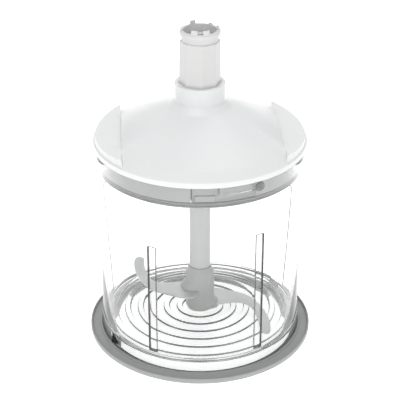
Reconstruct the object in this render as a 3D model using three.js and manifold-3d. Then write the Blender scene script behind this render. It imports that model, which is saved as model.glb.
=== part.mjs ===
// Food-processor attachment of a hand blender: a clear bowl in a non-slip base ring, a knife on a tall
// plastic shaft, and a white lid that holds a planetary reduction gear under its coupling tube.
// Millimetres, +Z up, the origin under the middle of the base ring. The front is -Y.
import * as THREE from "three";
import { mergeVertices } from "three/addons/utils/BufferGeometryUtils.js";
import Module from "manifold-3d";

const wasm = await Module();
wasm.setup();

// ---- Driving dimensions ----
const LID_EDGE_Z = 130; // lower edge of the lid's rim, where it meets the bowl
const LID_R = 65;
const FLOOR_Z = 12.5; // inside floor of the bowl
const BOWL_R = 62.8;
const BOWL_WALL = 2.2;
const BASE_R = 71.2;
const TUBE_R = 12.7;
const GAP = 0.3; // between pieces that touch on the real object
const ROUND = 40; // sides of a large round
const SMALL_ROUND = 20; // sides of a small round

const BOWL_INNER_R = BOWL_R - BOWL_WALL;
const BOWL_TOP_Z = LID_EDGE_Z - GAP;
const BAND_Z = LID_EDGE_Z - 14; // lower edge of the thicker band round the bowl's mouth
const BAND_R = 63.7;

// The gear stage: sun, three planets on a carrier, and a ring fixed in the lid.
const MODULE = 1; // tooth size in the gear stage
const SUN_TEETH = 12;
const PLANET_TEETH = 18;
const RING_TEETH = 48;
const PRESSURE_ANGLE = THREE.MathUtils.degToRad(25);
const ADDENDUM = 0.8;
const DEDENDUM = 1.1;
const BACKLASH = 0.2; // taken off each tooth's width at the pitch circle
const PLANET_ORBIT_R = ((SUN_TEETH + PLANET_TEETH) * MODULE) / 2;
const PLANETS = 3;
const GEAR_Z = 134.4;
const GEAR_HEIGHT = 7;
const CARRIER_Z = LID_EDGE_Z + 0.9;
const COVER_Z = 128.2; // underside of the lid's lower cover plate

// The bayonet that locks the lid to the bowl, as angles round the mouth from the front.
const TRACKS = 3;
const TRACK_ENTRY = [-8.4, 6.3];
const TRACK_END = 27;
const TRACK_Z = [120, 124.1];
const LUG_ANGLE = -1;
const LUG_WIDTH = 11;

const KNIFE_TURN = THREE.MathUtils.degToRad(-3.7);
const KNIFE_THICKNESS = 1.2;
const UPPER_KNIFE_Z = 28;
const LOWER_KNIFE_Z = 16.5;
const HUB_R = 9.1;
const HUB_TOP_Z = 45.3;
const SPINDLE_R = 2.5;

// ---- Shape helpers ----

// A closed three.js geometry as a solid, with its faces turned outward.
function solid(geometry) {
  const bare = geometry.index ? geometry.toNonIndexed() : geometry.clone();
  bare.deleteAttribute("normal");
  bare.deleteAttribute("uv");
  const merged = mergeVertices(bare, 1e-4);
  const triangles = [];
  for (let i = 0; i < merged.index.count; i += 3) {
    const [a, b, c] = [0, 1, 2].map((k) => merged.index.getX(i + k));
    if (a !== b && b !== c && c !== a) triangles.push([a, b, c]);
  }
  const build = (faces) =>
    new wasm.Manifold(
      new wasm.Mesh({
        numProp: 3,
        vertProperties: new Float32Array(merged.attributes.position.array),
        triVerts: new Uint32Array(faces.flat()),
      }),
    );
  const made = build(triangles);
  return made.volume() > 0 ? made : build(triangles.map(([a, b, c]) => [a, c, b]));
}

// A profile of [radius, height] points turned round the Z axis.
function turned(profile, sides = ROUND) {
  const points = profile.map(([r, z]) => new THREE.Vector2(r, z));
  const onAxis = profile[0][0] === 0 && profile[profile.length - 1][0] === 0;
  if (!onAxis) points.push(points[0].clone());
  return solid(new THREE.LatheGeometry(points, sides).rotateX(Math.PI / 2));
}

function rod(radius, z0, z1, sides = SMALL_ROUND) {
  return turned([[0, z0], [radius, z0], [radius, z1], [0, z1]], sides);
}

function ring(outer, inner, z0, z1, sides = ROUND) {
  return turned([[outer, z0], [outer, z1], [inner, z1], [inner, z0]], sides);
}

function prism(shape, z0, z1, curveSegments = 8) {
  const options = { depth: z1 - z0, bevelEnabled: false, curveSegments };
  return solid(new THREE.ExtrudeGeometry(shape, options).translate(0, 0, z0));
}

function block(x0, x1, y0, y1, z0, z1) {
  const box = new THREE.BoxGeometry(x1 - x0, y1 - y0, z1 - z0);
  return solid(box.translate((x0 + x1) / 2, (y0 + y1) / 2, (z0 + z1) / 2));
}

// Turns a solid about Z so that what lay at the front (-Y) lies at an angle, in degrees, to the right.
function atAngle(piece, degrees) {
  return piece.rotate([0, 0, degrees]);
}

// A stretch of a ring between two angles from the front, in degrees.
function arcBlock(inner, outer, fromDegrees, toDegrees, z0, z1) {
  const start = THREE.MathUtils.degToRad(fromDegrees - 90);
  const end = THREE.MathUtils.degToRad(toDegrees - 90);
  const shape = new THREE.Shape();
  shape.absarc(0, 0, outer, start, end, false);
  shape.absarc(0, 0, inner, end, start, true);
  return prism(shape, z0, z1, 6);
}

// A rounded block for a radial recess or boss at the front of a round wall.
function frontCapsule(width, height, y0, y1, zMiddle) {
  const r = height / 2;
  const straight = width / 2 - r;
  const shape = new THREE.Shape();
  shape.absarc(straight, 0, r, -Math.PI / 2, Math.PI / 2, false);
  shape.absarc(-straight, 0, r, Math.PI / 2, (3 * Math.PI) / 2, false);
  const made = prism(shape, y0, y1, 5);
  return made.rotate([90, 0, 0]).translate([0, 0, zMiddle]);
}

function copies(count, make) {
  return Array.from({ length: count }, (_, i) => make(i));
}

// ---- Gears ----

const involute = (angle) => Math.tan(angle) - angle;

// Half of a tooth's angle at a radius. An internal tooth is the space that an external tooth would fill.
function halfTooth(teeth, radius, internal) {
  const pitchR = (teeth * MODULE) / 2;
  const baseR = pitchR * Math.cos(PRESSURE_ANGLE);
  const angle = Math.acos(Math.min(1, baseR / radius));
  const flank = involute(PRESSURE_ANGLE) - involute(angle);
  const atPitch = Math.PI / 2 / teeth - BACKLASH / 2 / pitchR;
  return internal ? atPitch - flank : atPitch + flank;
}

function gearOutline(teeth, internal) {
  const pitchR = (teeth * MODULE) / 2;
  const side = internal ? -1 : 1;
  const root = pitchR - side * DEDENDUM * MODULE;
  const tip = pitchR + side * ADDENDUM * MODULE;
  const radii = [root, pitchR, tip];
  const at = (r, angle) => new THREE.Vector2(r * Math.cos(angle), r * Math.sin(angle));
  return copies(teeth, (i) => {
    const middle = (2 * Math.PI * i) / teeth;
    const rise = radii.map((r) => at(r, middle - halfTooth(teeth, r, internal)));
    const fall = radii.map((r) => at(r, middle + halfTooth(teeth, r, internal)));
    return [...rise, ...fall.reverse()];
  }).flat();
}

function externalGear(teeth, boreR) {
  const shape = new THREE.Shape(gearOutline(teeth, false));
  const gear = prism(shape, GEAR_Z, GEAR_Z + GEAR_HEIGHT);
  return gear.subtract(rod(boreR, GEAR_Z - 1, GEAR_Z + GEAR_HEIGHT + 1, 16));
}

// ---- Base ring and bowl ----

function baseRing() {
  const socketR = 63.6;
  const ledgeR = 57;
  return turned([
    [ledgeR, 0], [70, 0], [BASE_R, 1.2], [BASE_R, 4.2], [70.1, 4.4], [69.7, 2.6],
    [65.2, 3.3], [64.7, 4.7], [socketR, 4.7], [socketR, 2], [ledgeR, 2],
  ]);
}

// The raised rings on the bowl's floor.
function floorRings() {
  const firstR = 11.1;
  const pitch = 8.54;
  const width = 4.2;
  const height = 1;
  const shoulder = 0.7;
  const heights = [];
  for (let inner = firstR; inner + width < BOWL_INNER_R - 1; inner += pitch) {
    const outer = inner + width;
    heights.push([inner, 0], [inner + shoulder, height], [outer - shoulder, height], [outer, 0]);
  }
  return heights.map(([r, h]) => [r, FLOOR_Z + h]);
}

function bowl() {
  const footZ = 2 + GAP;
  const footR = 63.2;
  const footInnerR = 60.9;
  const undersideZ = FLOOR_Z - 2.5;
  const bossR = 4.5;
  const bossTopZ = 16;
  const pinHoleR = SPINDLE_R + GAP;
  const body = turned([
    [pinHoleR, undersideZ], [footInnerR, undersideZ], [footInnerR, footZ], [footR, footZ],
    [footR, FLOOR_Z + 0.3], [BOWL_R, FLOOR_Z + 0.8],
    [BOWL_R, BAND_Z - 0.6], [BAND_R, BAND_Z], [BAND_R, BOWL_TOP_Z],
    [BOWL_INNER_R, BOWL_TOP_Z], [BOWL_INNER_R, FLOOR_Z + 1.5], [BOWL_INNER_R - 1.5, FLOOR_Z],
    ...floorRings().reverse(),
    [bossR, FLOOR_Z], [bossR, bossTopZ], [pinHoleR, bossTopZ],
  ]);
  // Two narrow ribs at the front and two wide shallow panels at the back.
  const rib = (angle, topZ) => {
    const halfWidth = 2.7;
    const depth = 1.2;
    const inside = depth - BOWL_INNER_R;
    const bar = block(-halfWidth, halfWidth, -BOWL_INNER_R - 0.6, inside, FLOOR_Z - 1, topZ);
    return atAngle(bar, angle);
  };
  const panel = (from, to) => arcBlock(BOWL_INNER_R - 0.6, BOWL_INNER_R + 0.6, from, to, FLOOR_Z - 1, 115);
  const raised = [rib(-31.3, 86.5), rib(31.3, 93), panel(107, 148), panel(-144, -107)];
  const channelR = 61.7;
  const track = (turn) => {
    const [from, to] = TRACK_ENTRY;
    const entry = arcBlock(BOWL_INNER_R - 1, channelR, from + turn, to + turn, TRACK_Z[0], BOWL_TOP_Z + 1);
    const channel = arcBlock(BOWL_INNER_R - 1, channelR, to - 1 + turn, TRACK_END + turn, ...TRACK_Z);
    return entry.add(channel);
  };
  // A raised ring on the band marks where the lid locks.
  const markZ = LID_EDGE_Z - 3.7;
  const mark = frontCapsule(6.01, 6, BAND_R - 1, BAND_R + 0.5, markZ).subtract(
    frontCapsule(3.21, 3.2, BAND_R - 0.2, BAND_R + 1, markZ),
  );
  // Two recesses in the foot, opposite each other.
  const recess = frontCapsule(11, 5.2, footR - 1.4, footR + 1, 8.4);
  let made = [...raised, atAngle(mark, 29)].reduce((sum, piece) => sum.add(piece), body);
  made = made.subtract(atAngle(recess, -60)).subtract(atAngle(recess, 120));
  for (const cut of copies(TRACKS, (i) => track((360 / TRACKS) * i))) made = made.subtract(cut);
  return made;
}

function spindlePin() {
  const topZ = 39.5;
  const profile = [[0, 11], [SPINDLE_R, 11], [SPINDLE_R, topZ - 1], [SPINDLE_R - 0.8, topZ], [0, topZ]];
  return turned(profile, SMALL_ROUND);
}

// ---- Knife ----

const knifeHoleR = 5;
const knifeRootR = 7.6;

// One sickle of the knife, seen from above, with its root disc round the spindle.
function knifeShape(grow) {
  const outer = [
    [3.5, 15.4], [9.5, 16.3], [17.4, 13.5], [28.4, 7.6], [34.8, 0.6], [40.1, -10.4], [43.4, -22.5],
    [43.9, -34.5], [42.1, -40],
  ];
  const inner = [
    [37.1, -40], [36.4, -26], [34.4, -14], [31.8, -9], [28.2, -5.2], [24.3, -4], [20.2, -4], [13, -5.5],
  ];
  const asPoints = (list) => list.map(([x, y]) => new THREE.Vector2(x, y));
  const shape = new THREE.Shape();
  shape.moveTo(-2, knifeRootR - 0.6);
  shape.splineThru(asPoints(outer));
  shape.lineTo(...inner[0]);
  shape.splineThru(asPoints(inner.slice(1)));
  shape.lineTo(2, -knifeRootR + 0.6);
  const arm = prism(shape, -grow, KNIFE_THICKNESS + grow, 2);
  const root = rod(knifeRootR + grow, -grow, KNIFE_THICKNESS + grow);
  return arm.add(root).subtract(rod(knifeHoleR - grow, -1, KNIFE_THICKNESS + 1));
}

function knife(z, turn, grow = 0) {
  const degrees = THREE.MathUtils.radToDeg(KNIFE_TURN) + turn;
  return knifeShape(grow).rotate([0, 0, degrees]).translate([0, 0, z]);
}

// A round bar that leans sideways, from one distance off the axis to another.
function leaningBar(radius, fromX, toX, z0, z1) {
  const height = z1 - z0;
  const bar = new THREE.CylinderGeometry(radius, radius, height, 24).rotateX(Math.PI / 2);
  const lean = (toX - fromX) / height;
  bar.applyMatrix4(new THREE.Matrix4().set(1, 0, lean, 0, 0, 1, 0, 0, 0, 0, 1, 0, 0, 0, 0, 1));
  return solid(bar.translate((fromX + toX) / 2, 0, (z0 + z1) / 2));
}

// The pad that the hub moulds round a knife's root: it swells out to the knife and back in again.
function knifePad(bottomZ, lowZ, highZ, topZ, turn) {
  const reach = 4.2;
  const radius = HUB_R - 0.4;
  let pad = leaningBar(radius, reach, reach, lowZ, highZ).add(leaningBar(radius, reach, 0, highZ, topZ));
  if (bottomZ < lowZ) pad = pad.add(leaningBar(radius, 0, reach, bottomZ, lowZ));
  return pad.rotate([0, 0, THREE.MathUtils.radToDeg(KNIFE_TURN) + turn]);
}

function knifeHub() {
  const bottomZ = FLOOR_Z + 1.1;
  const boreR = SPINDLE_R + GAP;
  const bossClearR = 4.5 + GAP;
  const bossClearZ = 17;
  const boreTopZ = 40.2;
  const shaftSocketR = 5.6;
  const padBottomZ = bottomZ + 0.4;
  const barrel = turned([
    [bossClearR, bottomZ], [HUB_R - 0.6, bottomZ], [HUB_R, bottomZ + 0.8], [HUB_R, 41], [6.9, HUB_TOP_Z],
    [shaftSocketR, HUB_TOP_Z], [shaftSocketR, boreTopZ], [boreR, boreTopZ - 0.3], [boreR, bossClearZ],
    [bossClearR, bossClearZ],
  ], 28);
  const bores = rod(bossClearR, bottomZ - 1, bossClearZ).add(rod(boreR, bossClearZ - 1, boreTopZ - 1));
  return barrel
    .add(knifePad(UPPER_KNIFE_Z - 7.5, UPPER_KNIFE_Z - 0.9, UPPER_KNIFE_Z + 2.1, UPPER_KNIFE_Z + 7.8, 180))
    .add(knifePad(padBottomZ, padBottomZ, LOWER_KNIFE_Z + 1.9, LOWER_KNIFE_Z + 7.4, 0))
    .subtract(bores)
    .subtract(knife(UPPER_KNIFE_Z, 180, GAP))
    .subtract(knife(LOWER_KNIFE_Z, 0, GAP));
}

// The plastic tube above the hub. Two fins at its top engage the dogs inside the carrier.
const SHAFT_NECK_R = 4;
const FIN_R = 6.1;
const FIN_WIDTH = 3;

function knifeShaft() {
  const plugR = 5.6 - GAP;
  const tube = turned([
    [0, 40.6], [plugR, 40.6], [plugR, HUB_TOP_Z + GAP], [6.6, HUB_TOP_Z + GAP], [6.4, 111],
    [SHAFT_NECK_R, 111.6],
    [SHAFT_NECK_R, 128], [0, 128],
  ], 24);
  const fins = block(-FIN_R, FIN_R, -FIN_WIDTH / 2, FIN_WIDTH / 2, 120, 128);
  return tube.add(fins);
}

// ---- Gear lid ----

const SCREW_R = 38;
const SCREW_SHANK_R = 1.4;
const SCREWS = 3;
const screwAngle = (i) => 60 + 120 * i;
const FLAT_X = 47.8; // distance of the grip flats' chords from the middle
const FLAT_Z = 138.2; // height of a flat at its chord
const FLAT_SLOPE = 0.11;
const RING_GEAR_R = 29.5;
const RING_GEAR_TOP_Z = GEAR_Z + GEAR_HEIGHT + 0.3;
const RIM_R = 64;
const RIM_FOOT_Z = 134;

function lidShell() {
  const collarTopZ = 169.1;
  const collarR = 15.2;
  const boreR = TUBE_R + GAP;
  const outside = turned([
    [0, LID_EDGE_Z], [LID_R, LID_EDGE_Z], [LID_R, 133.4], [RIM_R, RIM_FOOT_Z], [58.5, 137.3], [19.5, 154.5],
    [16.6, 156], [collarR, 158.5], [collarR, collarTopZ - 0.5], [collarR - 0.5, collarTopZ], [0, collarTopZ],
  ]);
  // Each grip flat is a shallow plane. It cuts into the dome at its chord and stands proud of it at the rim.
  const below = new THREE.Shape();
  const farX = 80;
  const farZ = FLAT_Z - (farX - FLAT_X) * FLAT_SLOPE;
  below.moveTo(FLAT_X, RIM_FOOT_Z);
  below.lineTo(farX, RIM_FOOT_Z);
  below.lineTo(farX, farZ);
  below.lineTo(FLAT_X, FLAT_Z);
  const above = new THREE.Shape();
  above.moveTo(FLAT_X, FLAT_Z);
  above.lineTo(farX, farZ);
  above.lineTo(farX, 190);
  above.lineTo(FLAT_X, 190);
  const upright = (shape) => prism(shape, -farX, farX).rotate([90, 0, 0]);
  const plateau = upright(below).intersect(rod(RIM_R, RIM_FOOT_Z, 150, ROUND));
  const cut = upright(above);
  const body = outside
    .add(plateau)
    .add(plateau.mirror([1, 0, 0]))
    .subtract(cut)
    .subtract(cut.mirror([1, 0, 0]));
  const cavity = turned([
    [0, LID_EDGE_Z - 1], [61.5, LID_EDGE_Z - 1], [61.5, 132.6], [57, 135], [46, 135.7], [43.5, 141.4],
    [19, 152.2], [boreR, 152.6], [boreR, collarTopZ + 1], [0, collarTopZ + 1],
  ]);
  // A wall and a ledge inside the dome hold the ring gear, and three bosses take the cover's screws.
  const braceTopZ = 150;
  let braces = ring(RING_GEAR_R + 2.3, RING_GEAR_R + GAP, 134, braceTopZ);
  braces = braces.add(ring(RING_GEAR_R + 1, RING_GEAR_R - 2.5, RING_GEAR_TOP_Z + GAP, braceTopZ));
  for (const i of [0, 1, 2]) {
    const boss = rod(3.6, LID_EDGE_Z + 0.8, braceTopZ, 14).subtract(rod(SCREW_SHANK_R + GAP, 120, 141, 12));
    braces = braces.add(atAngle(boss.translate([0, -SCREW_R, 0]), screwAngle(i)));
  }
  const underSkin = body.translate([0, 0, -1]);
  return body.subtract(cavity).add(braces.intersect(underSkin));
}

// The grey cover under the gears, with the skirt that enters the bowl and the bayonet lugs.
const SKIRT_R = 60.2;
const SKIRT_BOTTOM_Z = 116;
const SEAL_Z = [117, 119.2];

function lowerCover() {
  const grooveR = 59.2;
  const skirtInnerR = 57.9;
  const plateTopZ = LID_EDGE_Z + 0.4;
  const outputHoleR = 10.7;
  const sealHousing = [11.8, 13.8];
  const body = turned([
    [outputHoleR, COVER_Z], [sealHousing[0], COVER_Z], [sealHousing[0], 124.5], [sealHousing[1], 124.5],
    [sealHousing[1], COVER_Z], [skirtInnerR, COVER_Z], [skirtInnerR, SKIRT_BOTTOM_Z],
    [SKIRT_R, SKIRT_BOTTOM_Z], [SKIRT_R, SEAL_Z[0] - GAP], [grooveR, SEAL_Z[0] - GAP],
    [grooveR, SEAL_Z[1] + GAP], [SKIRT_R, SEAL_Z[1] + GAP],
    [SKIRT_R, plateTopZ], [outputHoleR, plateTopZ],
  ]);
  const halfLug = LUG_WIDTH / 2;
  const lug = (turn) => {
    const middle = LUG_ANGLE + turn;
    const [bottomZ, topZ] = [TRACK_Z[0] + 0.4, TRACK_Z[1] - 0.4];
    return arcBlock(SKIRT_R - 1.5, 61.3, middle - halfLug, middle + halfLug, bottomZ, topZ);
  };
  let made = body;
  for (const i of [0, 1, 2]) {
    made = made.add(lug((360 / TRACKS) * i));
    const hole = rod(SCREW_SHANK_R + GAP, 120, 140, 12).translate([0, -SCREW_R, 0]);
    made = made.subtract(atAngle(hole, screwAngle(i)));
  }
  return made;
}

function coverScrew(i) {
  const headR = 2.9;
  const headTopZ = COVER_Z - GAP;
  const screw = turned([
    [0, headTopZ - 1.9], [headR - 0.6, headTopZ - 1.9], [headR, headTopZ - 1.2], [headR, headTopZ],
    [SCREW_SHANK_R, headTopZ], [SCREW_SHANK_R, 138], [0, 139.5],
  ], 12);
  const slot = block(-headR, headR, -0.4, 0.4, headTopZ - 3, headTopZ - 1).add(
    block(-0.4, 0.4, -headR, headR, headTopZ - 3, headTopZ - 1),
  );
  return atAngle(screw.subtract(slot).translate([0, -SCREW_R, 0]), screwAngle(i));
}

// The eight-sided tube that plugs into the motor unit, with its claws.
const TUBE_TOP_Z = 201.6;
const CUP_R = 9.9;
const CUP_FLOOR_Z = 186;
const BUSH_SEAT_R = 6.3;
const LOWER_BUSH_Z = [149, 155.7];

function couplingTube() {
  const facetTopZ = 195.6;
  const facetTopR = 12.2;
  const flangeZ = [148.8, 151];
  const neckR = 11;
  const rimR = 12.2;
  const seats = turned([
    [0, flangeZ[0] - 1], [BUSH_SEAT_R, flangeZ[0] - 1], [BUSH_SEAT_R, 156], [5, 157], [5, 179],
    [BUSH_SEAT_R, 180],
    [BUSH_SEAT_R, CUP_FLOOR_Z], [CUP_R, CUP_FLOOR_Z], [CUP_R, 210], [0, 210],
  ], 24);
  const edge = 0.6;
  const eightSided = (topR, bottomR, z0, z1) => {
    const sides = new THREE.CylinderGeometry(topR, bottomR, z1 - z0, 8).rotateX(Math.PI / 2);
    return solid(sides.translate(0, 0, (z0 + z1) / 2));
  };
  const facets = eightSided(facetTopR, TUBE_R, flangeZ[1], facetTopZ - edge).add(
    eightSided(facetTopR - edge, facetTopR, facetTopZ - edge, facetTopZ),
  );
  const foot = rod(17.5, ...flangeZ, 24).add(rod(TUBE_R - 1.6, flangeZ[0], flangeZ[1] + 2, 24));
  const neck = turned([
    [0, facetTopZ - 2], [neckR, facetTopZ - 2], [neckR, 198.6], [rimR, 199], [rimR, TUBE_TOP_Z - 0.5],
    [rimR - 0.5, TUBE_TOP_Z], [0, TUBE_TOP_Z],
  ], 24);
  const claw = (angle, width, height) => {
    const half = width / 2;
    const [bottomZ, topZ] = [TUBE_TOP_Z - 1.5, TUBE_TOP_Z + height];
    return arcBlock(CUP_R + 0.2, rimR - 0.9, angle - half, angle + half, bottomZ, topZ);
  };
  const claws = [
    claw(-20.7, 20, 2.6), claw(16, 20, 2.6), claw(92, 16, 1.8), claw(-88, 16, 1.8), claw(-160, 17, 2.2),
    claw(141, 10, 1),
  ];
  return claws.reduce((sum, piece) => sum.add(piece), facets.add(foot).add(neck).subtract(seats));
}

function driveSocket() {
  const bottomZ = CUP_FLOOR_Z + 0.6;
  const body = turned([
    [3 + GAP, bottomZ], [8.6, bottomZ], [8.6, 196.4], [7.9, 197.4], [0, 197.4], [0, 190.5], [3 + GAP, 190.5],
  ], 24);
  const star = new THREE.Shape(
    copies(12, (i) => {
      const r = i % 2 ? 3.6 : 5.6;
      const angle = (Math.PI * i) / 6;
      return new THREE.Vector2(r * Math.cos(angle), r * Math.sin(angle));
    }),
  );
  return body.subtract(prism(star, 191.5, 199));
}

function inputShaft() {
  return rod(3, GEAR_Z - GAP, 190.2, 18);
}

function ringGear() {
  const teeth = prism(new THREE.Shape(gearOutline(RING_TEETH, true)), 120, 150);
  return rod(RING_GEAR_R, LID_EDGE_Z + 0.7, RING_GEAR_TOP_Z, ROUND).subtract(teeth);
}

const planetAngle = (i) => (2 * Math.PI * i) / PLANETS;

function planetGear(i) {
  const halfPitch = 180 / PLANET_TEETH;
  const angle = THREE.MathUtils.radToDeg(planetAngle(i));
  return atPlanet(i, externalGear(PLANET_TEETH, 2 + GAP).rotate([0, 0, 180 + halfPitch + angle]));
}

const CAP_Z = GEAR_Z + GEAR_HEIGHT + 0.4;
const PIN_TOP_Z = CAP_Z + 1.2;

function atPlanet(i, piece) {
  const angle = planetAngle(i);
  return piece.translate([PLANET_ORBIT_R * Math.cos(angle), PLANET_ORBIT_R * Math.sin(angle), 0]);
}

function planetPin(i) {
  return atPlanet(i, rod(2, CARRIER_Z + 0.6, PIN_TOP_Z, 14));
}

// The plate that closes the carrier above the planets.
function carrierCap() {
  const plate = ring(20.5, 4.2, CAP_Z, CAP_Z + 2, 28);
  const pockets = copies(PLANETS, (i) => atPlanet(i, rod(2 + GAP, CAP_Z - 1, PIN_TOP_Z + GAP, 14)));
  return pockets.reduce((sum, pocket) => sum.subtract(pocket), plate);
}

// The plate that carries the planets, with the socket that drives the knife's shaft below it.
function planetCarrier() {
  const plateR = 22;
  const plateTopZ = GEAR_Z - 2 * GAP;
  const hubR = 8.5;
  const socketR = 6.6;
  const bottomZ = 112.5;
  const ceilingZ = 129;
  const body = turned([
    [socketR, bottomZ], [hubR, bottomZ], [hubR, CARRIER_Z], [plateR, CARRIER_Z], [plateR, plateTopZ],
    [0, plateTopZ], [0, ceilingZ], [socketR, ceilingZ],
  ], 28);
  const dog = (side) => {
    const inner = 4.4;
    const [y0, y1] = side > 0 ? [inner, socketR + 0.5] : [-socketR - 0.5, -inner];
    return block(-1.5, 1.5, y0, y1, 119.5, ceilingZ + 0.5);
  };
  let made = body.add(dog(-1)).add(dog(1));
  for (const i of [0, 1, 2]) {
    const pocket = rod(2 + GAP, CARRIER_Z + GAP, plateTopZ + 1, 14);
    made = made.subtract(atPlanet(i, pocket));
  }
  return made;
}

// ---- The assembly ----

const COLOURS = {
  white: { color: 0xefefee, roughness: 0.28, metalness: 0 },
  clear: { color: 0xf4f7f7, roughness: 0.05, metalness: 0, transparent: true, opacity: 0.35 },
  grey: { color: 0xb9bbbb, roughness: 0.45, metalness: 0 },
  softGrey: { color: 0x8d8f8f, roughness: 0.65, metalness: 0 },
  shaft: { color: 0xdcdcda, roughness: 0.4, metalness: 0 },
  acetal: { color: 0xf1efe6, roughness: 0.5, metalness: 0 },
  steel: { color: 0xc9cbcd, roughness: 0.25, metalness: 1 },
  bronze: { color: 0xb08d57, roughness: 0.5, metalness: 1 },
};
const materials = Object.fromEntries(
  Object.entries(COLOURS).map(([name, look]) => [name, new THREE.MeshStandardMaterial(look)]),
);

function meshOf(name, material, made) {
  const { vertProperties, triVerts } = made.getMesh();
  const geometry = new THREE.BufferGeometry();
  geometry.setAttribute("position", new THREE.BufferAttribute(new Float32Array(vertProperties), 3));
  geometry.setIndex(new THREE.BufferAttribute(new Uint32Array(triVerts), 1));
  geometry.computeVertexNormals();
  const mesh = new THREE.Mesh(geometry, materials[material]);
  mesh.name = name;
  return mesh;
}

const assembly = new THREE.Group();
assembly.add(
  meshOf("base_ring", "softGrey", baseRing()),
  meshOf("bowl", "clear", bowl()),
  meshOf("spindle_pin", "steel", spindlePin()),
  meshOf("thrust_washer", "acetal", ring(8.2, 4.5 + GAP, FLOOR_Z + GAP, FLOOR_Z + 0.8, SMALL_ROUND)),
  meshOf("knife_hub", "shaft", knifeHub()),
  meshOf("knife_shaft", "shaft", knifeShaft()),
  meshOf("upper_knife", "steel", knife(UPPER_KNIFE_Z, 180)),
  meshOf("lower_knife", "steel", knife(LOWER_KNIFE_Z, 0)),
  meshOf("lid_shell", "white", lidShell()),
  meshOf("lower_cover", "grey", lowerCover()),
  meshOf("lid_seal", "grey", ring(60.2, 59.5, ...SEAL_Z)),
  meshOf("shaft_seal", "softGrey", ring(11.5, 8.8, 124.8, COVER_Z - GAP, 28)),
  meshOf("output_bush", "bronze", ring(10.4, 8.8, COVER_Z + 0.1, LID_EDGE_Z + 0.4, 28)),
  meshOf("coupling_tube", "white", couplingTube()),
  meshOf("drive_socket", "grey", driveSocket()),
  meshOf("input_shaft", "steel", inputShaft()),
  meshOf("upper_bush", "bronze", ring(BUSH_SEAT_R - GAP, 3 + GAP, 180.3, 185.7, SMALL_ROUND)),
  meshOf("lower_bush", "bronze", ring(BUSH_SEAT_R - GAP, 3 + GAP, ...LOWER_BUSH_Z, SMALL_ROUND)),
  meshOf("sun_gear", "steel", externalGear(SUN_TEETH, 3 + GAP)),
  meshOf("ring_gear", "acetal", ringGear()),
  meshOf("planet_carrier", "acetal", planetCarrier()),
  meshOf("carrier_cap", "acetal", carrierCap()),
  ...copies(PLANETS, (i) => meshOf(`planet_gear_${i + 1}`, "acetal", planetGear(i))),
  ...copies(PLANETS, (i) => meshOf(`planet_pin_${i + 1}`, "steel", planetPin(i))),
  ...copies(SCREWS, (i) => meshOf(`cover_screw_${i + 1}`, "steel", coverScrew(i))),
);

export default assembly;
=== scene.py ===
import math

import bmesh
import bpy
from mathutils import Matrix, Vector


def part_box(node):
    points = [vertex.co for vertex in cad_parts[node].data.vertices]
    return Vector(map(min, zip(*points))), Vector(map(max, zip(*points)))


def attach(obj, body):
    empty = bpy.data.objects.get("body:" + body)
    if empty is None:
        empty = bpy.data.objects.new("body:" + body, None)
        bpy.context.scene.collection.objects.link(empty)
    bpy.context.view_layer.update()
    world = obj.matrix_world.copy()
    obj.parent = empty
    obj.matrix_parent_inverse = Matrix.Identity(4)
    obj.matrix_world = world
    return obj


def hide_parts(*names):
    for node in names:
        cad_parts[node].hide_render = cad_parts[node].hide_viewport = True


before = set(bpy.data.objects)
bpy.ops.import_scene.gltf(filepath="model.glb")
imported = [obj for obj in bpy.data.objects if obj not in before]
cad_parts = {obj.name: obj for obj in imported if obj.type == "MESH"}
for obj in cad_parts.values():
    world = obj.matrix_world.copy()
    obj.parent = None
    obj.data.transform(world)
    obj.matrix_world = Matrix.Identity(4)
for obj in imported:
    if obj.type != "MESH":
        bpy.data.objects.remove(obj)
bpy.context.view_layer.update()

MM = 0.001
SEGMENTS = 240


def span(node):
    """A node's lowest height, highest height and radius, in millimetres."""
    low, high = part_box(node)
    return low.z / MM, high.z / MM, high.x / MM


BOWL_FOOT_Z, BOWL_TOP_Z, BAND_R = span("bowl")
LID_Z, COLLAR_TOP_Z, LID_R = span("lid_shell")
TUBE_FOOT_Z, CLAW_TOP_Z, _ = span("coupling_tube")
SKIRT_Z, PLATE_TOP_Z, _ = span("lower_cover")
_, BASE_TOP_Z, BASE_R = span("base_ring")
HUB_Z, HUB_TOP_Z, _ = span("knife_hub")
SHAFT_Z, SHAFT_TOP_Z, SHAFT_R = span("knife_shaft")
SOCKET_Z, SOCKET_TOP_Z, SOCKET_R = span("drive_socket")

FLOOR_Z = BOWL_FOOT_Z + 10.2
INNER_R = BAND_R - 3.1
UNDERSIDE_Z = FLOOR_Z - 2.5
KNIFE_TURN = math.radians(-3.7)
UPPER_KNIFE_Z = 28
LOWER_KNIFE_Z = 16.5


# ---- Mesh making ----


def rounded(corners, steps=5):
    """Replaces each corner (x, y, radius) of a closed outline by a curve; radius 0 keeps it sharp."""
    outline = []
    for i, (x, y, radius) in enumerate(corners):
        corner = Vector((x, y))
        if radius == 0:
            outline.append((x, y))
            continue
        before = Vector(corners[i - 1][:2]) - corner
        after = Vector(corners[(i + 1) % len(corners)][:2]) - corner
        cut = radius / math.tan(max(before.angle(after), 0.05) / 2)
        cut = min(cut, 0.48 * before.length, 0.48 * after.length)
        start = corner + before.normalized() * cut
        end = corner + after.normalized() * cut
        for s in range(steps + 1):
            t = s / steps
            point = start * (1 - t) ** 2 + corner * 2 * t * (1 - t) + end * t * t
            outline.append((point.x, point.y))
    return outline


def ring_angles(features=(), count=SEGMENTS):
    """Even angles round the circle, with a pair at each feature's edge so that the edge is crisp."""
    edge = 0.22
    extra = sorted({(f + s + 180) % 360 - 180 for f in features for s in (-edge, edge)})
    even = [360 * i / count - 180 for i in range(count)]
    kept = [a for a in even if all(abs((a - e + 180) % 360 - 180) > 0.35 for e in extra)]
    return sorted(kept + extra)


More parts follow.
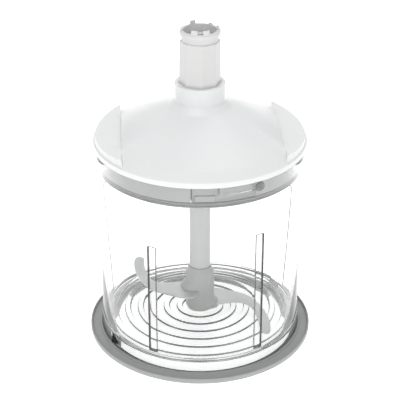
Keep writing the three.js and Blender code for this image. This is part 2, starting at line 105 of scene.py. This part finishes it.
def turned(outline, angles=None, shift=None):
    """A closed outline turned round Z. shift(r, z, angle) may return a moved (r, z)."""
    angles = angles or ring_angles()
    bm = bmesh.new()
    rings = []
    for r, z in outline:
        if r < 1e-6:
            rings.append([bm.verts.new((0, 0, z * MM))])
            continue
        ring = []
        for angle in angles:
            radius, height = shift(r, z, angle) if shift else (r, z)
            t = math.radians(angle)
            ring.append(bm.verts.new(Vector((math.sin(t) * radius, -math.cos(t) * radius, height)) * MM))
        rings.append(ring)
    count = len(outline) - (outline[0][0] < 1e-6)
    for i in range(count):
        a, b = rings[i], rings[(i + 1) % len(rings)]
        for k in range(len(angles)):
            n = k + 1
            corners = [a[k % len(a)], a[n % len(angles) % len(a)], b[n % len(angles) % len(b)], b[k % len(b)]]
            corners = list(dict.fromkeys(corners))
            if len(corners) > 2:
                bm.faces.new(corners)
    return bm


def placed(bm, name, material, sharp=38):
    """A named object from a bmesh, smooth except at edges steeper than the sharp angle."""
    bmesh.ops.recalc_face_normals(bm, faces=bm.faces)
    for face in bm.faces:
        face.smooth = True
    for edge in bm.edges:
        edge.smooth = edge.calc_face_angle(0) < math.radians(sharp)
    mesh = bpy.data.meshes.new(name)
    bm.to_mesh(mesh)
    bm.free()
    obj = bpy.data.objects.new(name, mesh)
    bpy.context.scene.collection.objects.link(obj)
    mesh.materials.append(material)
    return obj


def stands_for(obj, body, slot, *nodes):
    """Makes a piece ride on a body and replace its CAD nodes. The slot argument is not used."""
    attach(obj, body)
    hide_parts(*nodes)
    return obj


def applied(obj):
    """Bakes an object's modifiers into its mesh."""
    depsgraph = bpy.context.evaluated_depsgraph_get()
    mesh = bpy.data.meshes.new_from_object(obj.evaluated_get(depsgraph))
    obj.modifiers.clear()
    obj.data = mesh
    return obj


def smoothstep(low, high, value):
    t = min(max((value - low) / (high - low), 0), 1)
    return t * t * (3 - 2 * t)


def within(angle, low, high):
    """Whether an angle lies between two others, going round from low to high."""
    return (angle - low) % 360 <= (high - low) % 360


# ---- Materials ----


class Look:
    """A Principled material with a few node helpers, textured in object space."""

    def __init__(self, name, colour, roughness, metallic=0.0):
        self.material = bpy.data.materials.new(name)
        self.material.use_nodes = True
        self.tree = self.material.node_tree
        self.shader = self.tree.nodes["Principled BSDF"]
        self.shader.inputs["Metallic"].default_value = metallic
        self.colour = colour
        self.roughness = roughness
        self.coordinates = self.tree.nodes.new("ShaderNodeTexCoord").outputs["Object"]
        self.height = None

    def node(self, kind, **inputs):
        made = self.tree.nodes.new(kind)
        for key, value in inputs.items():
            made.inputs[key.replace("_", " ")].default_value = value
        return made

    def noise(self, scale, detail=4.0, stretch=(1, 1, 1)):
        mapping = self.node("ShaderNodeMapping", Scale=stretch)
        self.tree.links.new(self.coordinates, mapping.inputs["Vector"])
        noise = self.node("ShaderNodeTexNoise", Scale=scale, Detail=detail)
        self.tree.links.new(mapping.outputs["Vector"], noise.inputs["Vector"])
        return noise.outputs["Fac"]

    def spread(self, factor, low, high):
        ranged = self.node("ShaderNodeMapRange", From_Min=0.3, From_Max=0.7, To_Min=low, To_Max=high)
        self.tree.links.new(factor, ranged.inputs["Value"])
        return ranged.outputs["Result"]

    def mottle(self, factor, amount):
        """Varies the colour over the surface."""
        ramp = self.tree.nodes.new("ShaderNodeValToRGB")
        for element, gain in zip(ramp.color_ramp.elements, (1 - amount, 1 + amount)):
            element.color = (*[min(c * gain, 1) for c in self.colour], 1)
        ramp.color_ramp.elements[0].position = 0.3
        ramp.color_ramp.elements[1].position = 0.7
        self.tree.links.new(factor, ramp.inputs["Fac"])
        self.tree.links.new(ramp.outputs["Color"], self.shader.inputs["Base Color"])

    def polish(self, factor, amount):
        rough = self.spread(factor, max(self.roughness - amount, 0.0), self.roughness + amount)
        self.tree.links.new(rough, self.shader.inputs["Roughness"])

    def relief(self, factor, distance, strength=1.0):
        bump = self.node("ShaderNodeBump", Strength=strength, Distance=distance)
        self.tree.links.new(factor, bump.inputs["Height"])
        if self.height is not None:
            self.tree.links.new(self.height, bump.inputs["Normal"])
        self.height = bump.outputs["Normal"]
        self.tree.links.new(self.height, self.shader.inputs["Normal"])

    def set(self, **inputs):
        for key, value in inputs.items():
            self.shader.inputs[key.replace("_", " ")].default_value = value


def moulded(name, colour, roughness, grain=0.00001, grain_scale=2600, mottle=0.015):
    """Injection-moulded plastic: slow colour drift, fine spark-eroded grain, faint handling marks."""
    look = Look(name, colour, roughness)
    look.mottle(look.noise(38, 3), mottle)
    look.polish(look.noise(140, 5, (1, 1, 0.35)), 0.025)
    look.relief(look.noise(grain_scale, 3), grain, 0.5)
    look.relief(look.noise(60, 2), 0.00002, 0.12)
    return look


def white_gloss():
    look = moulded("white_gloss", (0.78, 0.78, 0.777), 0.3, 0.000003, 900, 0.006)
    look.set(Coat_Weight=0.1, Coat_Roughness=0.2, Subsurface_Weight=0.05)
    return look.material


def white_satin_painted_shade():
    # The lid's white with a satin roughness, its colour lowered from 0.78 to 0.66 as painted shade on the
    # tube's upright sides.
    return moulded("white_satin_painted_shade", (0.66, 0.66, 0.657), 0.38, 0.000004, 900, 0.006).material


def clear_plastic(name, colour, roughness):
    """Clear polished plastic with faint wiping marks."""
    look = Look(name, colour, roughness)
    look.mottle(look.noise(25, 2), 0.004)
    look.polish(look.noise(420, 4, (1, 1, 0.15)), 0.012)
    look.set(Transmission_Weight=1.0, IOR=1.49)
    return look.material


def soft_rubber():
    look = moulded("soft_rubber", (0.37, 0.375, 0.375), 0.55, 0.00003, 1900, 0.04)
    look.relief(look.noise(6000, 2), 0.00001, 0.5)
    look.set(Sheen_Weight=0.12)
    return look.material


def steel():
    """Satin steel with fine grinding lines."""
    look = Look("blade_steel", (0.66, 0.665, 0.67), 0.4, 0.75)
    lines = look.noise(1500, 4, (1, 0.04, 1))
    look.mottle(look.noise(60, 4), 0.03)
    look.polish(lines, 0.08)
    look.relief(lines, 0.000006, 0.6)
    return look.material


def sintered_bronze():
    look = Look("sintered_bronze", (0.5, 0.36, 0.18), 0.5, 0.9)
    pores = look.noise(3800, 3)
    look.mottle(pores, 0.2)
    look.polish(pores, 0.12)
    look.relief(pores, 0.00003, 0.7)
    return look.material


WHITE = white_gloss()
TUBE_WHITE_PAINTED_SHADE = white_satin_painted_shade()
CLEAR = clear_plastic("clear_plastic", (0.985, 0.99, 0.99), 0.015)
# A near-black clear tint: painted shade for how clear plastic looks dark along its edges.
CLEAR_EDGE_PAINTED_SHADE = clear_plastic("clear_plastic_painted_edge_shade", (0.05, 0.052, 0.052), 0.05)
# A mid-grey clear tint: painted shade for how the moulded lock ring looks darker.
CLEAR_MARK_PAINTED_SHADE = clear_plastic("clear_mark_painted_shade", (0.5, 0.51, 0.51), 0.08)
RUBBER = soft_rubber()
GREY = moulded("grey_satin", (0.62, 0.625, 0.625), 0.42, 0.000012).material
HUB = moulded("hub_plastic", (0.56, 0.56, 0.558), 0.38, 0.00001).material
SHAFT = moulded("shaft_plastic", (0.74, 0.74, 0.738), 0.38, 0.00001).material
ACETAL = moulded("natural_acetal", (0.78, 0.76, 0.69), 0.42, 0.00001, 2000, 0.02).material
STEEL = steel()
BRONZE = sintered_bronze()


# ---- Base ring ----


def base_ring():
    outline = rounded([
        (57, 0, 0.4), (69.6, 0, 0.5), (BASE_R - 0.1, 1.3, 1.2), (BASE_R - 0.1, 4.2, 0.5), (70.1, 4.4, 0.4),
        (69.6, 2.8, 0.5), (65.4, 3.4, 0.6), (64.9, BASE_TOP_Z, 0.4), (63.7, BASE_TOP_Z, 0.4), (63.6, 2, 0.2),
        (57, 2, 0.4),
    ])
    stands_for(placed(turned(outline), "base_ring_soft", RUBBER), "base", "soft_grey", "base_ring")


# ---- Bowl ----

RIBS = ((-31.3, 86.5), (31.3, 93))
RIB_HALF = 2.6  # half of a rib's width, in degrees
LINE = 0.65  # width of the painted shade line down a rib's edge, in degrees
RIB_DEPTH = 1.2
PANELS = ((107, 148), (-144, -107))
PANEL_TOP_Z = 115
TRACKS = 3
TRACK_ENTRY = (-8.4, 6.3)
TRACK_END = 27
TRACK_Z = (120, 124.1)


def inner_relief(z, angle):
    """How far the bowl's inner wall stands in from its plain cylinder, in millimetres."""
    for middle, top in RIBS:
        if within(angle, middle - RIB_HALF, middle + RIB_HALF) and FLOOR_Z + 1.2 < z < top:
            return RIB_DEPTH
    for low, high in PANELS:
        if within(angle, low, high) and FLOOR_Z + 1.2 < z < PANEL_TOP_Z:
            side = math.radians(min((angle - low) % 360, (high - angle) % 360)) * INNER_R
            corner = 4
            drop = corner - min(side, corner)
            rise = corner - math.sqrt(max(corner**2 - drop**2, 0))
            return 0.5 if z < PANEL_TOP_Z - rise else 0
    for turn in range(0, 360, 360 // TRACKS):
        in_entry = within(angle, TRACK_ENTRY[0] + turn, TRACK_ENTRY[1] + turn) and z > TRACK_Z[0]
        in_channel = within(angle, TRACK_ENTRY[1] + turn, TRACK_END + turn) and TRACK_Z[0] < z < TRACK_Z[1]
        if in_entry or in_channel:
            return -1.1
    return 0


def floor_rings():
    rings, first, pitch, width, height, side = 6, 11.1, 8.54, 4.2, 1, 0.6
    corners = []
    for i in range(rings):
        low = first + pitch * i
        high = low + width
        corners += [(low, FLOOR_Z, 0.3), (low + side, FLOOR_Z + height, 0.35)]
        corners += [(high - side, FLOOR_Z + height, 0.35), (high, FLOOR_Z, 0.3)]
    return corners


def bowl():
    foot_r = BAND_R - 0.5
    wall_r = BAND_R - 0.9
    band_z = BOWL_TOP_Z - 13.7
    pin_hole_r, boss_r, boss_top = 2.8, 4.5, 16
    edges = [BOWL_TOP_Z - 0.4, *TRACK_Z, *[top for _, top in RIBS], PANEL_TOP_Z, FLOOR_Z + 2]
    rows = {z + s for z in edges for s in (-0.1, 0.1)} | {111 + 0.8 * i for i in range(5)} | {40, 65}
    wall = [(INNER_R, z, 0) for z in sorted(rows, reverse=True)]
    outline = rounded([
        (pin_hole_r, UNDERSIDE_Z, 0), (60.9, UNDERSIDE_Z, 0.5), (60.9, BOWL_FOOT_Z, 0.4),
        (foot_r, BOWL_FOOT_Z, 0.4), (foot_r, FLOOR_Z + 0.3, 0.3), (wall_r, FLOOR_Z + 0.8, 0.3),
        (wall_r, band_z - 0.5, 0.3), (BAND_R, band_z, 0.3), (BAND_R, BOWL_TOP_Z, 0.5),
        (INNER_R, BOWL_TOP_Z, 0.3), *wall, (INNER_R, FLOOR_Z, 1.4), *reversed(floor_rings()),
        (boss_r, FLOOR_Z, 0.3), (boss_r, boss_top, 0.4), (pin_hole_r, boss_top, 0.2),
    ], 3)

    def shift(r, z, angle):
        on_wall = abs(r - INNER_R) < 0.01 and z > FLOOR_Z + 1.2
        return (r - inner_relief(z, angle), z) if on_wall else (r, z)

    features = [a for p in PANELS for a in p]
    features += [m + s * half for half in (RIB_HALF, RIB_HALF - LINE) for m, _ in RIBS for s in (-1, 1)]
    features += [a + turn for turn in range(0, 360, 360 // TRACKS) for a in (*TRACK_ENTRY, TRACK_END)]
    obj = placed(turned(outline, ring_angles(features), shift), "bowl_clear", CLEAR, 30)
    # Faces along ribs, steps, floor rings and the foot's underside take the near-black tint as painted edge
    # shade.
    obj.data.materials.append(CLEAR_EDGE_PAINTED_SHADE)
    for face in obj.data.polygons:
        if gets_painted_edge_shade(face):
            face.material_index = 1
    for angle in (-60, 120):
        obj = recessed(obj, angle, 8.4, 11, 5.2, foot_r - 1.4)
    stands_for(obj, "bowl", "clear", "bowl")


def gets_painted_edge_shade(face):
    """Whether a face of the bowl takes the painted edge shade, a near-black tint standing in for clear
    plastic looking dark along its ribs, steps, rings and the foot's underside.
    """
    x, y, z = (c / MM for c in face.center)
    radius = math.hypot(x, y)
    angle = math.degrees(math.atan2(x, -y))
    steep = 0.02 < abs(face.normal.z) < 0.96
    side_on = abs(face.normal.x * x + face.normal.y * y) < 0.7 * radius
    on_ring = 8 < radius < INNER_R - 1.7 and FLOOR_Z < z < FLOOR_Z + 1 and abs(face.normal.z) < 0.75
    on_step = INNER_R - 1.5 < radius < INNER_R + 1.2 and z > FLOOR_Z + 1 and (side_on or steep)
    on_foot = radius > INNER_R and z < BOWL_FOOT_Z + 0.4 and face.normal.z < -0.3
    on_rib = any(RIB_HALF - LINE - 0.3 < abs(angle - m) < RIB_HALF + 0.3 and z < top for m, top in RIBS)
    on_panel = any(abs(angle - a) < 0.25 and z < PANEL_TOP_Z for p in PANELS for a in p)
    on_wall = INNER_R - 1.5 < radius < INNER_R + 0.3 and z > FLOOR_Z + 1.2
    return on_ring or on_step or on_foot or (on_wall and (on_rib or on_panel))


def recessed(obj, angle, z, width, height, radius):
    """Cuts a round-ended pocket into the outside of a wall, down to a radius."""
    bm = bmesh.new()
    steps = 14
    half = (width - height) / 2
    outline = []
    for side, start in ((1, -90), (-1, 90)):
        for i in range(steps + 1):
            t = math.radians(start + 180 * i / steps)
            outline.append((side * half + math.cos(t) * height / 2, math.sin(t) * height / 2))
    turn = math.radians(angle)
    ends = []
    for r in (radius, radius + 6):
        ends.append([bm.verts.new(Vector((math.cos(turn) * x + math.sin(turn) * r,
                                          math.sin(turn) * x - math.cos(turn) * r, z + up)) * MM)
                     for x, up in outline])
    for i in range(len(outline)):
        n = (i + 1) % len(outline)
        bm.faces.new([ends[0][i], ends[0][n], ends[1][n], ends[1][i]])
    for end in ends:
        bm.faces.new(end)
    # The cutter is given the near-black painted edge shade tint.
    cutter = placed(bm, "pocket", CLEAR_EDGE_PAINTED_SHADE)
    cut = obj.modifiers.new("pocket", "BOOLEAN")
    cut.operation = "DIFFERENCE"
    cut.object = cutter
    obj = applied(obj)
    bpy.data.objects.remove(cutter)
    return obj


def button(name, angle, z, width, height, radius, depth, material):
    """A raised oval boss on a round wall, with a smaller dished face."""
    bm = bmesh.new()
    steps = 28
    layers = ((1, 0), (1, 0.75), (0.86, 1), (0.62, 1), (0.52, 0.55), (0, 0.5))
    rings = []
    for scale, out in layers:
        ring = []
        for i in range(steps if scale else 1):
            t = 2 * math.pi * i / steps
            across = math.cos(t) * width / 2 * scale
            a = math.radians(angle) + across / radius
            r = radius + depth * out
            up = z + math.sin(t) * height / 2 * scale
            ring.append(bm.verts.new(Vector((math.sin(a) * r, -math.cos(a) * r, up)) * MM))
        rings.append(ring)
    for a, b in zip(rings, rings[1:]):
        for i in range(steps):
            n = (i + 1) % steps
            corners = [a[i], a[n], b[n % len(b)], b[i % len(b)]]
            bm.faces.new(list(dict.fromkeys(corners)))
    bm.faces.new(rings[0])
    obj = placed(bm, name, material)
    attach(obj, "bowl")
    return obj


def lock_mark():
    """The raised ring on the bowl's band that shows where the lid locks."""
    # The boss is clear plastic tinted mid grey as painted shade for its darker look.
    button("lock_mark", 29, LID_Z - 3.7, 6, 6, BAND_R + 0.02, 0.5, CLEAR_MARK_PAINTED_SHADE)


# ---- Knife ----


def sampled(points, count):
    """Evenly spread points on a smooth curve through the given ones."""
    curve = []
    for i in range(len(points) - 1):
        p = [Vector(points[min(max(i + k, 0), len(points) - 1)]) for k in (-1, 0, 1, 2)]
        for s in range(12):
            t = s / 12
            curve.append(0.5 * (2 * p[1] + (p[2] - p[0]) * t + (2 * p[0] - 5 * p[1] + 4 * p[2] - p[3]) * t**2
                                + (3 * p[1] - p[0] - 3 * p[2] + p[3]) * t**3))
    curve.append(Vector(points[-1]))
    lengths = [0]
    for a, b in zip(curve, curve[1:]):
        lengths.append(lengths[-1] + (b - a).length)
    out = []
    for i in range(count):
        goal = lengths[-1] * i / (count - 1)
        k = max(j for j in range(len(lengths)) if lengths[j] <= goal + 1e-9)
        k = min(k, len(curve) - 2)
        out.append(curve[k].lerp(curve[k + 1], (goal - lengths[k]) / max(lengths[k + 1] - lengths[k], 1e-9)))
    return out


def blade(name, node, z, half_turn):
    """A sickle blade, full thickness along its back and ground to an edge along its inner curve."""
    outer = [(0, 9), (3.5, 15.2), (9.5, 16.1), (17.4, 13.4), (28.4, 7.5), (34.8, 0.6), (40.1, -10.4),
             (43.3, -22.5), (43.8, -34.5), (42.1, -39.6)]
    inner = [(1, -8), (7, -7), (13, -5.5), (20.2, -4), (24.3, -4), (28.2, -5.2), (31.8, -9), (34.4, -14),
             (36.4, -26), (37.3, -39.6)]
    along, across, thick = 56, 9, 1.2
    backs, edges = sampled(outer, along), sampled(inner, along)
    turn = KNIFE_TURN + (math.pi if half_turn else 0)
    bm = bmesh.new()
    sheets = []
    for top in (True, False):
        rows = []
        for back, edge in zip(backs, edges):
            row = []
            for k in range(across):
                t = k / (across - 1)
                point = back.lerp(edge, t)
                from_edge = (edge - point).length
                from_back = (point - back).length
                half = thick / 2 * (0.14 + 0.86 * smoothstep(0, 3.4, from_edge))
                half *= 0.8 + 0.2 * smoothstep(0, 0.6, from_back)
                x = point.x * math.cos(turn) - point.y * math.sin(turn)
                y = point.x * math.sin(turn) + point.y * math.cos(turn)
                row.append(bm.verts.new(Vector((x, y, z + thick / 2 + (half if top else -half))) * MM))
            rows.append(row)
        sheets.append(rows)
    for rows in sheets:
        for a, b in zip(rows, rows[1:]):
            for k in range(across - 1):
                bm.faces.new([a[k], a[k + 1], b[k + 1], b[k]])
    upper, lower = sheets
    rim = [(i, 0) for i in range(along)] + [(along - 1, k) for k in range(1, across)]
    rim += [(i, across - 1) for i in range(along - 2, -1, -1)] + [(0, k) for k in range(across - 2, 0, -1)]
    for (i, k), (m, n) in zip(rim, rim[1:] + rim[:1]):
        bm.faces.new([upper[i][k], upper[m][n], lower[m][n], lower[i][k]])
    stands_for(placed(bm, name, STEEL, 50), "knife", "steel", node)


def hub():
    """The moulded hub: a barrel with two slanted pads that grip the blades."""
    barrel = rounded([
        (2.8, HUB_Z, 0), (8.3, HUB_Z, 0.6), (9.1, HUB_Z + 1.4, 0.6), (9.1, 41, 1.2), (6.9, HUB_TOP_Z, 0.4),
        (5.7, HUB_TOP_Z, 0), (5.7, 40.2, 0), (2.8, 40, 0),
    ])
    bm = turned(barrel, ring_angles(count=96))
    # Each pad: the height of its middle, the side it stands out on, its tilt in degrees and half its height.
    for z, side, tilt, half in ((29.4, -1, 16, 8.0), (16.4, 1, 14, 6.0)):
        pad = bmesh.ops.create_uvsphere(bm, u_segments=48, v_segments=24, radius=1)["verts"]
        for v in pad:
            x, y, up = v.co
            v.co = Vector((x * 9.3, y * 8.7, up * half))
            v.co.z -= side * v.co.x * math.tan(math.radians(tilt)) * 0.6 + v.co.y * 0.1
            v.co.x += side * 3.4
            v.co.z = max(v.co.z + z, HUB_Z + 0.2)
            v.co *= MM
    obj = placed(bm, "hub_moulding", HUB, 60)
    remesh = obj.modifiers.new("blend", "REMESH")
    remesh.mode = "VOXEL"
    remesh.voxel_size = 0.45 * MM
    remesh.use_smooth_shade = True
    smooth = obj.modifiers.new("soften", "SMOOTH")
    smooth.factor = 0.5
    smooth.iterations = 4
    stands_for(applied(obj), "knife", "hub_plastic", "knife_hub")


def shaft():
    tube = rounded([
        (0, SHAFT_Z, 0), (5.2, SHAFT_Z, 0.3), (5.2, HUB_TOP_Z + 0.3, 0), (SHAFT_R, HUB_TOP_Z + 0.3, 0.3),
        (6.4, 111, 0.6), (4, 111.6, 0.4), (4, SHAFT_TOP_Z, 0.6), (0, SHAFT_TOP_Z, 0),
    ])
    obj = placed(turned(tube, ring_angles(count=120)), "shaft_tube", SHAFT)
    stands_for(obj, "knife", "hub_plastic", "knife_shaft")
    fin = bmesh.new()
    bmesh.ops.create_cube(fin, size=1)
    for v in fin.verts:
        v.co = Vector((v.co.x * 12.2, v.co.y * 3, v.co.z * 8 + SHAFT_TOP_Z - 4)) * MM
    bmesh.ops.bevel(fin, geom=fin.edges[:], offset=0.5 * MM, segments=3, affect="EDGES", profile=0.5)
    fins = placed(fin, "shaft_fins", SHAFT)
    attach(fins, "knife")


# ---- Lid ----

FLAT_X = 47.8
FLAT_Z = 138.2
FLAT_SLOPE = 0.11
DOME = ((64, 134), (58.5, 137.3), (19.5, 154.5))


def dome_height(radius):
    """The height of the dome's outside at a radius."""
    for (far, low), (near, high) in zip(DOME, DOME[1:]):
        if radius >= near:
            return low + (high - low) * (far - min(radius, far)) / (far - near)
    return DOME[-1][1]


def lid():
    rim_r = DOME[0][0]
    collar_r, bore_r = 15.2, 13
    tube_flat_r = 11.7  # the collar closes in on the tube's flats just below its top
    outline = rounded([
        (61.5, LID_Z, 0.2), (LID_R, LID_Z, 0.6), (LID_R, 133.4, 0.6), (rim_r, 134, 0),
        (rim_r - 0.3, 134.18, 0), (58.5, 137.3, 1.6), (19.5, 154.5, 6), (collar_r, 158.5, 3),
        (collar_r, COLLAR_TOP_Z, 0.35), (bore_r, COLLAR_TOP_Z, 0.3), (12.7, COLLAR_TOP_Z - 0.5, 0),
        (tube_flat_r, COLLAR_TOP_Z - 0.5, 0), (tube_flat_r, COLLAR_TOP_Z - 1.5, 0),
        (bore_r, COLLAR_TOP_Z - 1.5, 0), (bore_r, 152.6, 0),
        (19, 152.2, 0), (43.5, 141.4, 0), (46, 135.7, 0), (57, 135, 0), (61.5, 132.6, 0),
    ], 6)
    bm = turned(outline)
    ramp = 0.45
    cuts = [(Vector((side * (FLAT_X + ramp * k / 2) * MM, 0, 0)), Vector((1, 0, 0)))
            for side in (-1, 1) for k in (-2, -1, 0, 1, 2)]
    for point, normal in cuts:
        geometry = bm.verts[:] + bm.edges[:] + bm.faces[:]
        bmesh.ops.bisect_plane(bm, geom=geometry, plane_co=point, plane_no=normal)
    for v in bm.verts:
        across = abs(v.co.x) / MM
        radius = v.co.xy.length / MM
        plane = FLAT_Z - (across - FLAT_X) * FLAT_SLOPE
        height = v.co.z / MM
        if radius < rim_r - 0.1 and height > dome_height(radius) - 0.8:
            v.co.z = (height + (plane - height) * smoothstep(FLAT_X - ramp, FLAT_X + ramp, across)) * MM
    stands_for(placed(bm, "lid_dome", WHITE, 50), "lid", "white", "lid_shell")


def cover():
    """The grey skirt and plate, with the bayonet lugs standing out of the skirt."""
    skirt, inside, groove = 60.15, 57.9, 59.2
    seal_low, seal_high = (v / MM for v in (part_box("lid_seal")[0].z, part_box("lid_seal")[1].z))
    lug_low, lug_high = TRACK_Z[0] + 0.4, TRACK_Z[1] - 0.4
    lug_rows = [(skirt, lug_low - 0.05, 0), (skirt, lug_low + 0.05, 0), (skirt, lug_high - 0.05, 0)]
    outline = rounded([
        (10.7, 128.2, 0), (11.8, 128.2, 0), (11.8, 124.5, 0.2), (13.8, 124.5, 0.3), (13.8, 128.2, 0.3),
        (inside, 128.2, 1), (inside, SKIRT_Z, 0.3), (skirt, SKIRT_Z, 0.4), (skirt, seal_low - 0.3, 0.1),
        (groove, seal_low - 0.3, 0), (groove, seal_high + 0.3, 0), (skirt, seal_high + 0.3, 0.1), *lug_rows,
        (skirt, lug_high + 0.05, 0), (skirt, PLATE_TOP_Z, 0.4), (10.7, PLATE_TOP_Z, 0),
    ], 4)
    lugs = [(turn - 6.5, turn + 4.5) for turn in range(0, 360, 360 // TRACKS)]

    def shift(r, z, angle):
        on_lug = lug_low <= z <= lug_high and r > groove + 0.5
        return (61.3, z) if on_lug and any(within(angle, *lug) for lug in lugs) else (r, z)

    angles = ring_angles([a for lug in lugs for a in lug])
    stands_for(placed(turned(outline, angles, shift), "lid_cover", GREY), "lid", "grey", "lower_cover")


def seal():
    low, high, radius = span("lid_seal")
    middle = (low + high) / 2
    outline = rounded([
        (59.5, low, 0.1), (59.9, low, 0.1), (radius, low + 0.4, 0.2), (59.9, middle, 0.1),
        (radius, high - 0.4, 0.2), (59.9, high, 0.1), (59.5, high, 0.1),
    ], 3)
    stands_for(placed(turned(outline), "lid_gasket", RUBBER), "seal", "soft_grey", "lid_seal")


# ---- Coupling tube ----

# The claws: middle and half width in degrees, and height.
CLAWS = ((-20.7, 10, 2.6), (16, 10, 2.6), (92, 8, 1.8), (-88, 8, 1.8), (-160, 8.5, 2.2), (141, 5, 1))
FACETS = 8


def coupling_tube():
    rim_top = CLAW_TOP_Z - 2.6
    facet_top = rim_top - 6
    foot_r, neck_r, rim_r, cup_r, seat_r = 17.5, 11, 12.2, 9.9, 6.3
    outline = rounded([
        (seat_r, TUBE_FOOT_Z, 0), (foot_r, TUBE_FOOT_Z, 0.3), (foot_r, TUBE_FOOT_Z + 2.2, 0.3),
        (12.7, TUBE_FOOT_Z + 2.2, 0), (12.6, 168, 0), (rim_r, facet_top - 0.6, 0.1), (11.6, facet_top, 0.1),
        (neck_r, facet_top, 0.2), (neck_r, rim_top - 3, 0.2), (rim_r, rim_top - 2.6, 0.3),
        (rim_r, rim_top - 0.5, 0.3), (11.7, rim_top, 0.1), (11.3, rim_top, 0), (10.2, rim_top, 0),
        (cup_r, rim_top, 0.1), (cup_r, 186, 0.3), (seat_r, 186, 0), (seat_r, 180, 0), (5, 179, 0),
        (5, 157, 0), (seat_r, 156, 0),
    ], 4)
    width = 360 / FACETS

    def shift(r, z, angle):
        if r > 11.3 and TUBE_FOOT_Z + 2.1 < z <= facet_top + 0.01:
            across = math.radians(angle % width - width / 2)
            flat = r * math.cos(math.radians(width / 2)) / math.cos(across)
            # The corners are softened, and the facet right of the front has fine upright grip lines.
            r = min(flat, r - 0.1) if abs(math.degrees(across)) > 18 else flat
            if within(angle, 3, 42) and 170 < z:
                r += 0.14 * abs(math.sin(math.radians((angle - 3) * 180 / 4.3)))
        elif 10 < r < 11.4 and z > rim_top - 0.01:
            for middle, half, height in CLAWS:
                if within(angle, middle - half, middle + half):
                    z += height
        return r, z

    angles = ring_angles([m + s * h for m, h, _ in CLAWS for s in (-1, 1)], 480)
    # The tube takes the darker white: painted shade on its upright sides.
    obj = placed(turned(outline, angles, shift), "tube_white", TUBE_WHITE_PAINTED_SHADE, 30)
    stands_for(obj, "lid", "white", "coupling_tube")


def drive_socket():
    star_points, depth = 6, 6
    outline = rounded([
        (3.3, SOCKET_Z, 0), (SOCKET_R, SOCKET_Z, 0.5), (SOCKET_R, SOCKET_TOP_Z - 1, 0.5),
        (SOCKET_R - 0.7, SOCKET_TOP_Z, 0.4),
        (5.6, SOCKET_TOP_Z, 0.2), (5.6, SOCKET_TOP_Z - depth, 0), (0.001, SOCKET_TOP_Z - depth, 0),
        (0.001, 190.5, 0), (3.3, 190.5, 0),
    ], 3)

    def shift(r, z, angle):
        if 5 < r < 6 and z > SOCKET_TOP_Z - depth - 0.1:
            r -= 1 + math.cos(math.radians(angle * star_points))
        return r, z

    obj = placed(turned(outline, ring_angles(count=144), shift), "socket_star", GREY)
    stands_for(obj, "drive", "grey", "drive_socket")


# ---- Pieces whose CAD shape stays ----

KEPT = {
    "spindle_pin": STEEL, "input_shaft": STEEL, "sun_gear": STEEL,
    "thrust_washer": ACETAL, "ring_gear": ACETAL, "planet_carrier": ACETAL, "carrier_cap": ACETAL,
    "shaft_seal": RUBBER, "output_bush": BRONZE, "upper_bush": BRONZE, "lower_bush": BRONZE,
}


def kept_nodes():
    looks = dict(KEPT)
    for i in (1, 2, 3):
        looks[f"planet_gear_{i}"] = ACETAL
        looks[f"planet_pin_{i}"] = STEEL
        looks[f"cover_screw_{i}"] = STEEL
    for node, material in looks.items():
        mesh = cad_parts[node].data
        mesh.materials.clear()
        mesh.materials.append(material)


# ---- Studio ----


def studio():
    floor_bm = bmesh.new()
    bmesh.ops.create_grid(floor_bm, x_segments=4, y_segments=4, size=3)
    floor_look = Look("pale_floor", (0.93, 0.93, 0.93), 0.9)
    floor_look.mottle(floor_look.noise(3, 2), 0.004)
    floor_look.set(Emission_Color=(1, 1, 1, 1), Emission_Strength=0.75)
    floor = placed(floor_bm, "floor", floor_look.material)
    floor.location.z = -0.0005

    world = bpy.data.worlds.new("studio")
    bpy.context.scene.world = world
    world.use_nodes = True
    nodes, links = world.node_tree.nodes, world.node_tree.links
    background = nodes["Background"]
    direction = nodes.new("ShaderNodeSeparateXYZ")
    links.new(nodes.new("ShaderNodeTexCoord").outputs["Generated"], direction.inputs[0])
    side = nodes.new("ShaderNodeMath")
    side.operation = "ABSOLUTE"
    links.new(direction.outputs["X"], side.inputs[0])
    ramp = nodes.new("ShaderNodeValToRGB")
    ramp.color_ramp.elements[0].position = 0.5
    ramp.color_ramp.elements[0].color = (1, 1, 1, 1)
    ramp.color_ramp.elements[1].position = 0.95
    ramp.color_ramp.elements[1].color = (0.18, 0.18, 0.18, 1)
    links.new(side.outputs[0], ramp.inputs["Fac"])
    links.new(ramp.outputs["Color"], background.inputs["Color"])
    background.inputs["Strength"].default_value = 1.0


def light(name, azimuth, elevation, distance, size, watts):
    data = bpy.data.lights.new(name, "AREA")
    data.shape = "DISK"
    data.size = size
    data.energy = watts
    obj = bpy.data.objects.new(name, data)
    bpy.context.scene.collection.objects.link(obj)
    obj.location = looking_from(azimuth, elevation, distance)
    obj.rotation_euler = (AIM - obj.location).to_track_quat("-Z", "Y").to_euler()


AIM = Vector((0, 0, 0.0897))


def looking_from(azimuth, elevation, distance):
    a, e = math.radians(azimuth), math.radians(elevation)
    return AIM + distance * Vector((math.sin(a) * math.cos(e), -math.cos(a) * math.cos(e), math.sin(e)))


def camera():
    data = bpy.data.cameras.new("camera")
    data.lens = 112.5
    data.sensor_width = 36
    obj = bpy.data.objects.new("camera", data)
    bpy.context.scene.collection.objects.link(obj)
    obj.location = looking_from(-3.7, 27.3, 0.78)
    obj.rotation_euler = (AIM - obj.location).to_track_quat("-Z", "Y").to_euler()
    bpy.context.scene.camera = obj


bpy.context.scene.view_settings.view_transform = "Standard"
camera()
studio()
light("key", -35, 66, 1.3, 0.7, 2.1)
light("back", 150, 70, 1.3, 0.6, 1)
base_ring()
bowl()
lock_mark()
blade("blade_upper", "upper_knife", UPPER_KNIFE_Z, True)
blade("blade_lower", "lower_knife", LOWER_KNIFE_Z, False)
hub()
shaft()
lid()
cover()
seal()
coupling_tube()
drive_socket()
kept_nodes()
